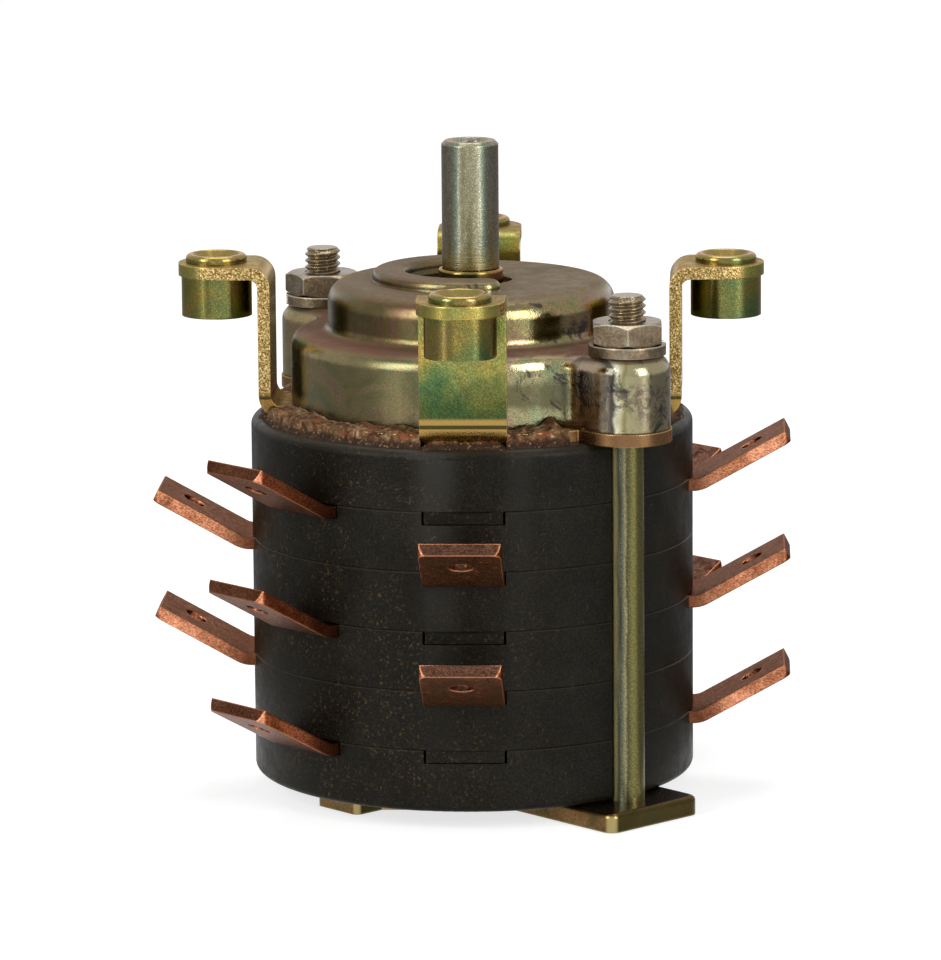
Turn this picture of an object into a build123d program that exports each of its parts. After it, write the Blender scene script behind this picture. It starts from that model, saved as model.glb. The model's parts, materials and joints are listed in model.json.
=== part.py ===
from build123d import *
import math
import os

# Rotary switch. Six moulded decks are clamped by two tie rods between an end plate and a folded
# mounting plate. Copper terminals leave the seams, and a drawn cover holds the index mechanism.
# Millimetres. Z is the shaft axis, and the origin is the middle of the end plate's underside.
# Azimuths are degrees from the front (-Y) towards the right (+X).

# End plate
plate_thick = 2.0
plate_side_inset = 9.6
plate_corner_inset = 3.6
plate_corner_half_width = 3.2
plate_corner_round = 0.8
plate_ear_half_width = 6.4
plate_ear_end = 4.1
plate_ear_round = 1.2
plate_neck_round = 3.0
plate_edge_round = 0.5

# Deck stack
deck_radius = 23.3
bottom_deck_height = 6.5
middle_deck_height = 6.25
top_deck_height = 6.4
middle_deck_count = 4
top_edge_round = 0.95
foot_edge_round = 0.7
seam_chamfer = 0.12
deck_wall = 8.3
chamber_depth = 4.85
key_side_gap = 0.25
key_recess = 0.3
key_end_gap = 0.12

# Terminals
terminal_width = 8.4
terminal_thick = 1.3
terminal_flat = 0.9
terminal_reach = 10.3
terminal_fold = 29.0
terminal_fold_round = 2.0
terminal_corner = 0.9
terminal_hole = 2.5
terminal_hole_along = 6.8
tail_gap = 0.7
tail_width = 5.2
slot_depth = 1.35
slot_side_gap = 0.1

# Tie rods and their nuts
rod_azimuth = 45
rod_offset = 0.3
rod_diameter = 3.4
rod_thread_diameter = 3.9
rod_thread_length = 12.0
rod_spare = 2.65
rod_tip_chamfer = 0.5
rod_groove_gap = 0.25
rod_hole_gap = 0.2
stake_gap = 0.02
nut_across = 7.0
nut_height = 2.35
nut_chamfer_angle = 30
front_nut_turn = 17
rear_nut_turn = 47
washer_outer = 8.0
washer_bore_gap = 0.15
washer_thick = 1.1
washer_split = 0.7
washer_split_turn = 60
washer_split_lean = 25

# Mounting plate and bushes
sheet_thick = 1.3
mount_plate_inset = 1.7
mount_ear_radius = 4.6
arm_width = 9.0
arm_relief = 0.6
arm_inset = 1.1
arm_low_bend = 1.2
arm_top_bend = 0.9
tab_rise = 14.75
tab_end = 4.0
bush_offset = 4.6
bush_diameter = 7.4
bush_drop = 4.3
bush_neck_diameter = 6.4
bush_ring_height = 0.9
bush_ring_round = 0.45
bush_bore = 3.3
bush_mouth = 5.0

# Index cover
cover_sheet = 1.0
skirt_inset = 4.3
cover_ear_radius = 4.45
cover_ear_fillet = 3.6
shelf_rise = 7.7
shelf_round = 1.7
shelf_width = 3.9
dome_rise = 5.2
dome_round = 2.2
dome_foot_round = 1.0
ridge_inset = 6.5
ridge_width = 3.5
ridge_height = 1.2
ridge_round = 0.7
ridge_wall = 0.8
ridge_middle_azimuth = -80
dish_inset = 2.0
dish_inner_radius = 4.4
dish_depth = 0.9

# Shaft, bush and stop
shaft_diameter = 6.0
shaft_reach = 14.7
shaft_chamfer = 0.35
shaft_flat_depth = 0.5
shaft_bore = 3.3
shaft_bore_depth = 10.0
shaft_foot_gap = 0.1
shaft_groove_width = 0.8
shaft_groove_depth = 0.2
running_gap = 0.05
collar_wall = 0.4
collar_height = 2.1
collar_round = 0.25
shaft_bush_wall = 0.3
shaft_bush_flange = 5.6
shaft_bush_flange_thick = 1.0
ring_thick = 0.6
ring_reach = 1.4
ring_groove_depth = 0.5
ring_gap = 0.1
stop_plate_margin = 2.0
stop_plate_thick = 1.5
stop_pin_diameter = 1.5
turn_each_way = 90
stop_end_spare = 1.0

# Index wheel and click springs
step_count = 8
wheel_room = 4.1
wheel_thick = 4.0
wheel_hub_radius = 5.0
wheel_lift = 1.8
wheel_hub_lift = 0.4
notch_radius = 2.2
notch_depth = 1.0
spring_thick = 0.45
spring_height = 3.0
spring_nose_gap = 0.3
spring_flat_gap = 1.2
spring_half_span = 8.8
spring_bend = 0.6
spring_eye_wall = 0.5
post_diameter = 1.6
post_top_gap = 0.3

# Rotors and bridge contacts
spigot_radius = 5.0
spigot_gap = 0.1
rotor_flange_radius = 10.0
rotor_floor_gap = 0.3
rotor_top_gap = 0.15
boss_radius = 6.4
boss_across = 10.6
key_gap = 0.06
bridge_thick = 0.8
bridge_ring_width = 1.8
bridge_rim_gap = 1.6
bridge_contact_gap = 0.1
bridge_lobe_half_angle = 15
common_lobe_half_angle = 100

# Where the terminals stand, level by level from the bottom
site_azimuth = {
    "front": 0,
    "front_left": -45,
    "left": -90,
    "right": 90,
    "rear_right": 135,
    "rear": 180,
}
level_terminals = [
    ["front_left", "right", "rear"],
    ["front", "left", "rear_right"],
    ["front_left", "right", "rear"],
    ["front", "left", "rear_right"],
    ["front_left", "right", "rear"],
]
level_keys = [
    ["front"],
    ["rear"],
    ["front"],
    ["rear"],
    ["front"],
]
arm_azimuths = [0, 90, 180, 270]
odd_bridge = ("front_left", "rear")
even_bridge = ("rear_right", "front")

# Radii that follow from the sizes above
rod_pitch_radius = deck_radius + rod_offset
washer_inner = rod_thread_diameter + 2 * washer_bore_gap
plate_half_side = deck_radius - plate_side_inset
plate_corner_reach = deck_radius - plate_corner_inset
plate_ear_reach = rod_pitch_radius + plate_ear_end
chamber_radius = deck_radius - deck_wall
mount_plate_radius = deck_radius - mount_plate_inset
arm_outer_radius = deck_radius - arm_inset
bush_pitch_radius = arm_outer_radius + bush_offset
tab_reach = bush_pitch_radius + tab_end
skirt_radius = deck_radius - skirt_inset
dome_radius = skirt_radius - shelf_width
ridge_radius = dome_radius - ridge_inset
dish_radius = ridge_radius - dish_inset
stop_plate_radius = ridge_radius + stop_plate_margin
wheel_radius = dome_radius - wheel_room
shaft_square = shaft_diameter - 2 * shaft_flat_depth
collar_radius = shaft_diameter / 2 + collar_wall
shaft_bush_radius = shaft_diameter / 2 + shaft_bush_wall
ring_radius = shaft_diameter / 2 + ring_reach
bridge_ring_radius = boss_radius + bridge_ring_width
bridge_reach = chamber_radius - bridge_rim_gap
tail_radius = bridge_ring_radius + tail_gap

# Heights that follow from the sizes above
deck_heights = [bottom_deck_height] + [middle_deck_height] * middle_deck_count + [top_deck_height]
deck_lows = [plate_thick + sum(deck_heights[:count]) for count in range(len(deck_heights))]
seams = deck_lows[1:]
stack_top = plate_thick + sum(deck_heights)
mount_top = stack_top + sheet_thick
tab_top = mount_top + tab_rise
tab_low = tab_top - sheet_thick
shelf_height = mount_top + shelf_rise
shelf_inside = shelf_height - cover_sheet
dome_top = shelf_height + dome_rise
dome_inside = dome_top - cover_sheet
dish_floor = dome_top - dish_depth
dish_inside = dish_floor - cover_sheet
collar_top = dish_floor + collar_height
ring_top = dish_inside - shaft_bush_flange_thick - ring_gap
shoulder = ring_top - 2 * ring_thick
stop_plate_low = shoulder - stop_plate_thick
wheel_low = mount_top + wheel_lift
washer_top = shelf_height + washer_thick
rod_top = washer_top + nut_height + rod_spare
shaft_top = dome_top + shaft_reach

UPRIGHT = (Align.CENTER, Align.CENTER, Align.MIN)
OUTWARD = (Align.MIN, Align.CENTER, Align.MIN)


def drum(radius, low, high):
    """Upright cylinder between two heights."""
    return Pos(0, 0, low) * Cylinder(radius, high - low, align=UPRIGHT)


def bar(start, end, width, low, high):
    """Block from one radius to another along +X."""
    return Pos(start, 0, low) * Box(end - start, width, high - low, align=OUTWARD)


def prism(outline, low, high):
    """Flat outline raised between two heights."""
    return Pos(0, 0, low) * extrude(outline, amount=high - low)


def facing(azimuth, piece):
    """Turn a piece drawn along +X to an azimuth."""
    return Rot(0, 0, azimuth - 90) * piece


def at_rods(piece):
    """The piece at both tie rods."""
    placed = Pos(rod_pitch_radius, 0, 0) * piece
    return facing(rod_azimuth, placed) + facing(rod_azimuth + 180, placed)


def sector(azimuth, half_angle, reach):
    """Wedge of a large disc, to cut lobes with."""
    turns = [half_angle * step / 4 for step in range(-4, 5)]
    rim = [(reach * math.cos(math.radians(t)), reach * math.sin(math.radians(t))) for t in turns]
    return facing(azimuth, Polygon((0, 0), *rim, align=None))


def rounded_at(outline, points, radius):
    """Round the corners of a flat outline that lie nearest to the given points."""
    corners = [outline.vertices().sort_by_distance(Vector(*point))[0] for point in points]
    return fillet(corners, radius)


def rim_edges(solid, radius, height):
    """Circular edges of one radius at one height."""
    return [
        edge
        for edge in solid.edges().filter_by(GeomType.CIRCLE)
        if abs(edge.radius - radius) < 0.001 and abs(edge.arc_center.Z - height) < 0.001
    ]


def plate_bar(reach, half_width, radius):
    """Bar across the end plate with rounded corners."""
    corners = [(x * reach, y * half_width) for x in (-1, 1) for y in (-1, 1)]
    return rounded_at(Rectangle(2 * reach, 2 * half_width), corners, radius)


def plate_necks(azimuth, half_width):
    """Where the sides of a bar leave the square of the end plate."""
    reach = plate_half_side * math.sqrt(2) - half_width
    places = [Vertex(x * reach, y * half_width, 0) for x in (-1, 1) for y in (-1, 1)]
    return [tuple(facing(azimuth, place)) for place in places]


def end_plate():
    """Square plate with an ear for each tie rod and a narrow corner on each side between them."""
    across = rod_azimuth + 90
    ears = plate_bar(plate_ear_reach, plate_ear_half_width, plate_ear_round)
    corners = plate_bar(plate_corner_reach, plate_corner_half_width, plate_corner_round)
    outline = Rectangle(2 * plate_half_side, 2 * plate_half_side)
    outline += facing(rod_azimuth, ears) + facing(across, corners)
    necks = plate_necks(rod_azimuth, plate_ear_half_width)
    necks += plate_necks(across, plate_corner_half_width)
    plate = prism(rounded_at(outline, necks, plate_neck_round), 0, plate_thick)
    plate = fillet(plate.faces().sort_by(Axis.Z)[-1].edges(), plate_edge_round)
    return plate - at_rods(drum(rod_diameter / 2 + stake_gap, 0, plate_thick))


def deck_blank(index):
    """Plain deck with its rim edges eased, more at the two ends of the stack."""
    low = deck_lows[index]
    high = low + deck_heights[index]
    blank = drum(deck_radius, low, high)
    last = index == len(deck_heights) - 1
    if index == 0:
        blank = fillet(rim_edges(blank, deck_radius, low), foot_edge_round)
    else:
        blank = chamfer(rim_edges(blank, deck_radius, low), seam_chamfer)
    if last:
        blank = fillet(rim_edges(blank, deck_radius, high), top_edge_round)
    else:
        blank = chamfer(rim_edges(blank, deck_radius, high), seam_chamfer)
    return blank


def deck_slot(site, seam):
    """Slot in the top of a deck's wall, for a terminal or for the next deck's key."""
    width = terminal_width + 2 * slot_side_gap
    start = chamber_radius - width / 4
    return facing(site_azimuth[site], bar(start, 2 * deck_radius, width, seam - slot_depth, seam))


def deck_key(site, seam):
    """Moulded key under a deck, which fills an unused slot of the deck below."""
    width = terminal_width + 2 * slot_side_gap - 2 * key_side_gap
    low = seam - slot_depth + key_end_gap
    key = bar(chamber_radius, deck_radius - key_recess, width, low, seam + seam_chamfer)
    return facing(site_azimuth[site], key)


def deck(index):
    """One moulded deck, with a contact chamber unless it is the top one."""
    low = deck_lows[index]
    high = low + deck_heights[index]
    solid = deck_blank(index)
    if index > 0:
        for site in level_keys[index - 1]:
            solid += deck_key(site, low)
    if index < len(seams):
        solid -= drum(chamber_radius, high - chamber_depth, high)
        solid -= drum(spigot_radius + spigot_gap, low, high)
        for site in level_terminals[index] + level_keys[index]:
            solid -= deck_slot(site, high)
    else:
        solid -= drum(shaft_diameter / 2 + running_gap, low, high)
    return solid - at_rods(drum(rod_diameter / 2 + rod_groove_gap, low, high))


def terminal(site, seam):
    """Copper strip clamped in a slot, with its outer end folded upwards."""
    low = seam - slot_depth
    fold = math.radians(terminal_fold)
    bend = deck_radius + terminal_flat
    tip = deck_radius + terminal_reach
    rise = (tip - bend) * math.tan(fold)
    shift = terminal_thick * math.tan(fold / 2)
    outer_bend = (bend, low)
    inner_bend = (bend - shift, low + terminal_thick)
    section = Polygon(
        (tail_radius, low),
        outer_bend,
        (tip, low + rise),
        (tip - terminal_thick * math.sin(fold), low + rise + terminal_thick * math.cos(fold)),
        inner_bend,
        (tail_radius, low + terminal_thick),
        align=None,
    )
    section = rounded_at(section, [inner_bend], terminal_fold_round)
    section = rounded_at(section, [outer_bend], terminal_fold_round + terminal_thick)
    strip = extrude(Plane.XZ * section, amount=terminal_width / 2, both=True)
    half = terminal_width / 2
    plan = Polygon(
        (tail_radius, -tail_width / 2),
        (chamber_radius, -half),
        (tip, -half),
        (tip, half),
        (chamber_radius, half),
        (tail_radius, tail_width / 2),
        align=None,
    )
    plan = rounded_at(plan, [(tip, -half), (tip, half)], terminal_corner)
    strip = strip & prism(plan, low, low + rise + 2 * terminal_thick)
    hole = Pos(bend, 0, low) * Rot(0, -terminal_fold, 0) * Pos(terminal_hole_along, 0, 0)
    hole = hole * Cylinder(terminal_hole / 2, 4 * terminal_thick)
    return facing(site_azimuth[site], strip - hole)


def tie_rod(side):
    """Rod staked flush in the end plate, with its upper end threaded."""
    thread_low = rod_top - rod_thread_length
    shank = drum(rod_diameter / 2, 0, thread_low)
    thread = drum(rod_thread_diameter / 2, thread_low, rod_top)
    thread = chamfer(rim_edges(thread, rod_thread_diameter / 2, rod_top), rod_tip_chamfer)
    thread = chamfer(
        rim_edges(thread, rod_thread_diameter / 2, thread_low),
        (rod_thread_diameter - rod_diameter) / 2 - stake_gap,
    )
    return facing(side, Pos(rod_pitch_radius, 0, 0) * (shank + thread))


def spring_washer(side):
    """Split washer, pressed flat under the nut."""
    ring = drum(washer_outer / 2, shelf_height, washer_top)
    ring -= drum(washer_inner / 2, shelf_height, washer_top)
    cut = Box(washer_outer, washer_split, 4 * washer_thick, align=(Align.MIN, Align.CENTER, Align.CENTER))
    cut = Rot(0, 0, washer_split_turn) * Rot(washer_split_lean, 0, 0) * cut
    ring -= Pos(0, 0, shelf_height + washer_thick / 2) * cut
    return facing(side, Pos(rod_pitch_radius, 0, 0) * ring)


def tie_nut(side, turn):
    """Thin hexagon nut with its corners turned down on both faces."""
    low = washer_top
    high = washer_top + nut_height
    corner = nut_across / math.sqrt(3)
    fall = math.tan(math.radians(nut_chamfer_angle))
    apex = nut_across / 2
    hexagon = prism(RegularPolygon(corner, 6), low, high)
    turned = Polygon(
        (0, low),
        (apex, low),
        (corner, low + (corner - apex) * fall),
        (corner, high - (corner - apex) * fall),
        (apex, high),
        (0, high),
        align=None,
    )
    nut = hexagon & revolve(Plane.XZ * turned, Axis.Z)
    nut -= drum(rod_thread_diameter / 2 + stake_gap, low, high)
    return facing(side, Pos(rod_pitch_radius, 0, 0) * Rot(0, 0, turn) * nut)


def arm_section():
    """Side view of one arm: up from the plate, then outwards as a tab."""
    inner = arm_outer_radius - sheet_thick
    foot = inner - arm_low_bend - 2 * sheet_thick
    low_outer = (arm_outer_radius, stack_top)
    low_inner = (inner, mount_top)
    top_under = (arm_outer_radius, tab_low)
    top_over = (inner, tab_top)
    section = Polygon(
        (foot, stack_top),
        low_outer,
        top_under,
        (tab_reach, tab_low),
        (tab_reach, tab_top),
        top_over,
        low_inner,
        (foot, mount_top),
        align=None,
    )
    section = rounded_at(section, [low_inner], arm_low_bend)
    section = rounded_at(section, [low_outer], arm_low_bend + sheet_thick)
    section = rounded_at(section, [top_under], arm_top_bend)
    return rounded_at(section, [top_over], arm_top_bend + sheet_thick)


def mounting_arm(azimuth):
    """One folded arm with a round-ended tab and the hole for its bush."""
    half = arm_width / 2
    arm = extrude(Plane.XZ * arm_section(), amount=half, both=True)
    end = tab_reach - half
    plan = Pos(end / 2, 0) * Rectangle(end, arm_width) + Pos(end, 0) * Circle(half)
    arm = arm & prism(plan, stack_top, tab_top)
    hole = Pos(bush_pitch_radius, 0, 0) * drum(bush_neck_diameter / 2 + stake_gap, tab_low, tab_top)
    return facing(azimuth, arm - hole)


def spring_post_places():
    """Middle of each post that holds an end of a click spring."""
    line = wheel_radius + spring_flat_gap
    return [(x * line, y * spring_half_span) for x in (-1, 1) for y in (-1, 1)]


def mounting_plate():
    """Folded sheet on top of the stack, with four arms and an ear at each tie rod."""
    ear = Rectangle(2 * rod_pitch_radius, 2 * mount_ear_radius)
    ear += [Pos(x * rod_pitch_radius, 0) * Circle(mount_ear_radius) for x in (-1, 1)]
    fold = arm_outer_radius - sheet_thick - arm_low_bend
    relief = Pos(fold + deck_radius, 0) * Rectangle(2 * deck_radius, arm_width + 2 * arm_relief)
    disc = Circle(mount_plate_radius)
    for azimuth in arm_azimuths:
        disc -= facing(azimuth, relief)
    plate = prism(disc + facing(rod_azimuth, ear), stack_top, mount_top)
    for azimuth in arm_azimuths:
        plate += mounting_arm(azimuth)
    plate -= drum(spigot_radius, stack_top, mount_top)
    for x, y in spring_post_places():
        plate -= Pos(x, y, 0) * drum(post_diameter / 2 + stake_gap, stack_top, mount_top)
    return plate - at_rods(drum(rod_thread_diameter / 2 + rod_hole_gap, stack_top, mount_top))


def mounting_bush(azimuth):
    """Threaded bush riveted in a tab, with its rolled ring above."""
    ring_top_height = tab_top + bush_ring_height
    low = tab_low - bush_drop
    body = drum(bush_diameter / 2, low, tab_low)
    neck = drum(bush_neck_diameter / 2, tab_low, ring_top_height)
    neck = fillet(rim_edges(neck, bush_neck_diameter / 2, ring_top_height), bush_ring_round)
    depth = (bush_mouth - bush_bore) / 2
    mouth = Cone(bush_bore / 2, bush_mouth / 2, depth, align=UPRIGHT)
    solid = body + neck - drum(bush_bore / 2, low, ring_top_height)
    solid -= Pos(0, 0, ring_top_height - depth) * mouth
    return facing(azimuth, Pos(bush_pitch_radius, 0, 0) * solid)


def skirt_outline(inset):
    """Plan of the cover: a circle with a blended ear round each tie rod."""
    core = skirt_radius - inset
    half = cover_ear_radius - inset
    ear = Rectangle(2 * rod_pitch_radius, 2 * half)
    ear += [Pos(x * rod_pitch_radius, 0) * Circle(half) for x in (-1, 1)]
    meet = math.sqrt(core**2 - half**2)
    corners = [(x * meet, y * half) for x in (-1, 1) for y in (-1, 1)]
    return facing(rod_azimuth, rounded_at(Circle(core) + ear, corners, cover_ear_fillet + inset))


def cover_form(inset, low):
    """Skirt, shelf and dome as one closed form, inset for the inside of the sheet."""
    shelf = shelf_height - inset
    top = dome_top - inset
    radius = dome_radius - inset
    skirt = prism(skirt_outline(inset), low, shelf)
    skirt = fillet(skirt.faces().sort_by(Axis.Z)[-1].edges(), shelf_round - inset / 2)
    dome = drum(radius, low, top)
    dome = fillet(rim_edges(dome, radius, top), dome_round - inset / 2)
    form = skirt + dome
    return fillet(rim_edges(form, radius, shelf), dome_foot_round + inset / 2)


def ridge_band(width):
    """Plan of the C-shaped ridge, with round ends."""
    half_turn = turn_each_way + stop_end_spare
    arc = CenterArc((0, 0), ridge_radius, ridge_middle_azimuth - 90 - half_turn, 2 * half_turn)
    return SlotArc(arc, width)


def dish_outline(spread):
    """Plan of the shallow dish inside the ridge."""
    swept = turn_each_way + stop_end_spare
    wide = Circle(dish_radius + spread) & (
        sector(ridge_middle_azimuth - swept / 2, swept / 2, 2 * dish_radius)
        + sector(ridge_middle_azimuth + swept / 2, swept / 2, 2 * dish_radius)
    )
    return wide + Circle(dish_inner_radius + spread)


def index_cover():
    """Drawn cover with a C-shaped ridge that is hollow underneath."""
    outer = cover_form(0, mount_top)
    ridge = prism(ridge_band(ridge_width), dome_inside, dome_top + ridge_height)
    ridge = fillet(ridge.faces().sort_by(Axis.Z)[-1].edges(), ridge_round)
    outer = outer + ridge - prism(dish_outline(0), dish_floor, dome_top + ridge_height)
    inner = cover_form(cover_sheet, mount_top)
    groove = ridge_band(ridge_width - 2 * ridge_wall)
    inner += prism(groove, dome_inside - cover_sheet, dome_inside + ridge_height)
    inner -= prism(dish_outline(cover_sheet), dish_inside, dome_inside)
    shell = outer - inner
    shell -= drum(shaft_bush_radius + stake_gap + cover_sheet, dish_inside, dome_top)
    return shell - at_rods(drum(rod_thread_diameter / 2 + rod_hole_gap, mount_top, shelf_height))


def shaft_bush():
    """Flanged bearing bush with a rounded collar above the cover."""
    flange_low = dish_inside - shaft_bush_flange_thick
    bush = drum(shaft_bush_flange, flange_low, dish_inside)
    bush += drum(shaft_bush_radius + cover_sheet, dish_inside, dish_floor)
    collar = drum(collar_radius, dish_floor, collar_top)
    bush += fillet(rim_edges(collar, collar_radius, collar_top), collar_round)
    return bush - drum(shaft_diameter / 2 + running_gap, flange_low, collar_top)


def drive_outline(gap):
    """Squared part of the shaft, with the corners left round."""
    side = shaft_square + 2 * gap
    return Rectangle(side, side) & Circle(shaft_diameter / 2 + gap)


def shaft_groove(low, high, depth):
    """Ring of metal to turn off the shaft."""
    return drum(shaft_diameter, low, high) - drum(shaft_diameter / 2 - depth, low, high)


def shaft():
    """Round bar, squared below the cover and tapped in its end, with a ring and a grease groove."""
    low = plate_thick + shaft_foot_gap
    bar_top = drum(shaft_diameter / 2, shoulder, shaft_top)
    bar_top = chamfer(rim_edges(bar_top, shaft_diameter / 2, shaft_top), shaft_chamfer)
    solid = bar_top + prism(drive_outline(0), low, shoulder)
    solid -= shaft_groove(ring_top - ring_thick, ring_top, ring_groove_depth)
    grease_top = collar_top + running_gap
    solid -= shaft_groove(grease_top - shaft_groove_width, grease_top, shaft_groove_depth)
    bore = drum(shaft_bore / 2, shaft_top - shaft_bore_depth, shaft_top)
    mouth = Cone(shaft_bore / 2, shaft_bore / 2 + shaft_chamfer, shaft_chamfer, align=UPRIGHT)
    return solid - bore - Pos(0, 0, shaft_top - shaft_chamfer) * mouth


def retaining_ring():
    """Open ring in the shaft's groove, under the bush."""
    inner = shaft_diameter / 2 - ring_groove_depth + stake_gap
    low = ring_top - ring_thick + stake_gap
    high = ring_top - stake_gap
    ring = drum(ring_radius, low, high) - drum(inner, low, high)
    return ring - bar(0, 2 * ring_radius, 2 * inner - ring_groove_depth, low, high)


def stop_place(piece):
    """Put a piece at the stop pin's place at rest."""
    return facing(ridge_middle_azimuth, Pos(ridge_radius, 0, 0) * piece)


def stop_plate():
    """Disc keyed under the shaft's shoulder, which carries the stop pin."""
    plate = drum(stop_plate_radius, stop_plate_low, shoulder)
    plate -= prism(drive_outline(key_gap), stop_plate_low, shoulder)
    hole = drum(stop_pin_diameter / 2 + stake_gap, stop_plate_low, shoulder)
    return plate - stop_place(hole)


def stop_pin():
    """Pin that runs in the hollow of the ridge."""
    top = dome_inside + ridge_height / 2
    return stop_place(drum(stop_pin_diameter / 2, stop_plate_low, top))


def index_wheel():
    """Notched wheel with a hub, keyed to the shaft."""
    high = wheel_low + wheel_thick
    wheel = drum(wheel_radius, wheel_low, high)
    notch = Pos(wheel_radius - notch_depth + notch_radius, 0, 0) * drum(notch_radius, wheel_low, high)
    for step in range(step_count):
        wheel -= Rot(0, 0, step * 360 / step_count) * notch
    hub_low = mount_top + wheel_hub_lift
    wheel += drum(wheel_hub_radius, hub_low, stop_plate_low)
    return wheel - prism(drive_outline(key_gap), hub_low, stop_plate_low)


def click_spring(side):
    """Leaf with a bent nose in one notch and an eye round a post at each end."""
    line = wheel_radius + spring_flat_gap
    nose = wheel_radius - notch_depth + spring_nose_gap + spring_thick / 2
    slope = line - nose
    path = FilletPolyline(
        (line, -spring_half_span),
        (line, -slope),
        (nose, 0),
        (line, slope),
        (line, spring_half_span),
        radius=spring_bend,
    )
    leaf = trace(path, spring_thick)
    eye = post_diameter / 2 + stake_gap
    for end in (-1, 1):
        leaf += Pos(line, end * spring_half_span) * Circle(eye + spring_eye_wall)
    for end in (-1, 1):
        leaf -= Pos(line, end * spring_half_span) * Circle(eye)
    low = wheel_low + (wheel_thick - spring_height) / 2
    return facing(side, prism(leaf, low, low + spring_height))


def spring_posts():
    """Four posts set in the mounting plate."""
    post = drum(post_diameter / 2, stack_top, shelf_inside - post_top_gap)
    return Compound([Pos(x, y, 0) * post for x, y in spring_post_places()])


def boss_outline(gap):
    """Two-flat boss that turns a bridge contact with its rotor."""
    side = boss_across + 2 * gap
    return Circle(boss_radius + gap) & Rectangle(2 * (boss_radius + gap), side)


def rotor(index):
    """Insulating rotor that turns in one contact chamber."""
    seam = seams[index]
    floor = seam - chamber_depth
    foot = deck_lows[index] + (shaft_foot_gap if index == 0 else stake_gap - rotor_top_gap)
    seat = seam - slot_depth - bridge_contact_gap - bridge_thick
    solid = drum(spigot_radius, foot, floor + rotor_floor_gap)
    solid += drum(rotor_flange_radius, floor + rotor_floor_gap, seat)
    solid += prism(boss_outline(0), seat, seam - rotor_top_gap)
    return solid - prism(drive_outline(key_gap), foot, seam)


def bridge(index):
    """Copper ring with a wide lobe for the common terminal and a narrow one for the other."""
    common, selected = odd_bridge if index % 2 == 0 else even_bridge
    low = seams[index] - slot_depth - bridge_contact_gap - bridge_thick
    lobes = sector(site_azimuth[common], common_lobe_half_angle, 2 * bridge_reach)
    lobes += sector(site_azimuth[selected], bridge_lobe_half_angle, 2 * bridge_reach)
    outline = Circle(bridge_ring_radius) + (Circle(bridge_reach) & lobes) - boss_outline(key_gap)
    return prism(outline, low, low + bridge_thick)


def all_pieces():
    """Every piece by its node name."""
    pieces = {
        "end_plate": end_plate(),
        "mounting_plate": mounting_plate(),
        "index_cover": index_cover(),
        "shaft_bush": shaft_bush(),
        "shaft": shaft(),
        "retaining_ring": retaining_ring(),
        "stop_plate": stop_plate(),
        "stop_pin": stop_pin(),
        "index_wheel": index_wheel(),
        "spring_posts": spring_posts(),
    }
    for index in range(len(deck_heights)):
        pieces[f"deck_{index + 1}"] = deck(index)
    for index, seam in enumerate(seams):
        pieces[f"rotor_{index + 1}"] = rotor(index)
        pieces[f"bridge_contact_{index + 1}"] = bridge(index)
        for site in level_terminals[index]:
            pieces[f"terminal_{index + 1}_{site}"] = terminal(site, seam)
    for name, azimuth in (("front", 0), ("right", 90), ("rear", 180), ("left", -90)):
        pieces[f"mounting_bush_{name}"] = mounting_bush(azimuth)
    for name, azimuth in (("left", -90), ("right", 90)):
        pieces[f"click_spring_{name}"] = click_spring(azimuth)
    rods = (("front", rod_azimuth, front_nut_turn), ("rear", rod_azimuth + 180, rear_nut_turn))
    for name, azimuth, nut_turn in rods:
        pieces[f"tie_rod_{name}"] = tie_rod(azimuth)
        pieces[f"spring_washer_{name}"] = spring_washer(azimuth)
        pieces[f"tie_nut_{name}"] = tie_nut(azimuth, nut_turn)
    return pieces


os.makedirs("parts", exist_ok=True)
for node, piece in all_pieces().items():
    export_step(piece, f"parts/{node}.step")
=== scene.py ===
import bpy
import json
import math
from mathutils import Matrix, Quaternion, Vector, noise


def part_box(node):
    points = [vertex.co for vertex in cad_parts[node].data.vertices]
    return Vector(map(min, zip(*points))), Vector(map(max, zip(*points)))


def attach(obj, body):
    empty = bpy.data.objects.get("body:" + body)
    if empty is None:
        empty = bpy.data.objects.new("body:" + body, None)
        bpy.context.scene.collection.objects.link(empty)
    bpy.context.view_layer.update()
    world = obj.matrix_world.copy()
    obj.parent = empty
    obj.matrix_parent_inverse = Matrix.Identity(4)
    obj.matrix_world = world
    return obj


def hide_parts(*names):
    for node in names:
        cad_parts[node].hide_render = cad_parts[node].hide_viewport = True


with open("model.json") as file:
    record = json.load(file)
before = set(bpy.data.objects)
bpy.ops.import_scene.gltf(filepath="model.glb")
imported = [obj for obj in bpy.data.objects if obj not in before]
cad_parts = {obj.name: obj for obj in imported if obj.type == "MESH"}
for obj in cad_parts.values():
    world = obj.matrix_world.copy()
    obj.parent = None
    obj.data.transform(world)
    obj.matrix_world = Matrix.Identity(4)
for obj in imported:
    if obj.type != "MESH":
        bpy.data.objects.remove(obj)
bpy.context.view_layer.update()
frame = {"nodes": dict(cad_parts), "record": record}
nodes = frame["nodes"]

# Camera, from a fit to the photograph (941 by 960 pixels)
PHOTO_LONG_SIDE = 960
FOCAL_PIXELS = 6175.9
SENSOR = 36.0
CAMERA_DISTANCE = 0.6535
CAMERA_AZIMUTH = 2.4
CAMERA_ELEVATION = 10.71
CAMERA_ROLL = 0.46
AIM = Vector((-0.0002, 0, 0.03255))

MM = 1000  # millimetres in a metre

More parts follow.
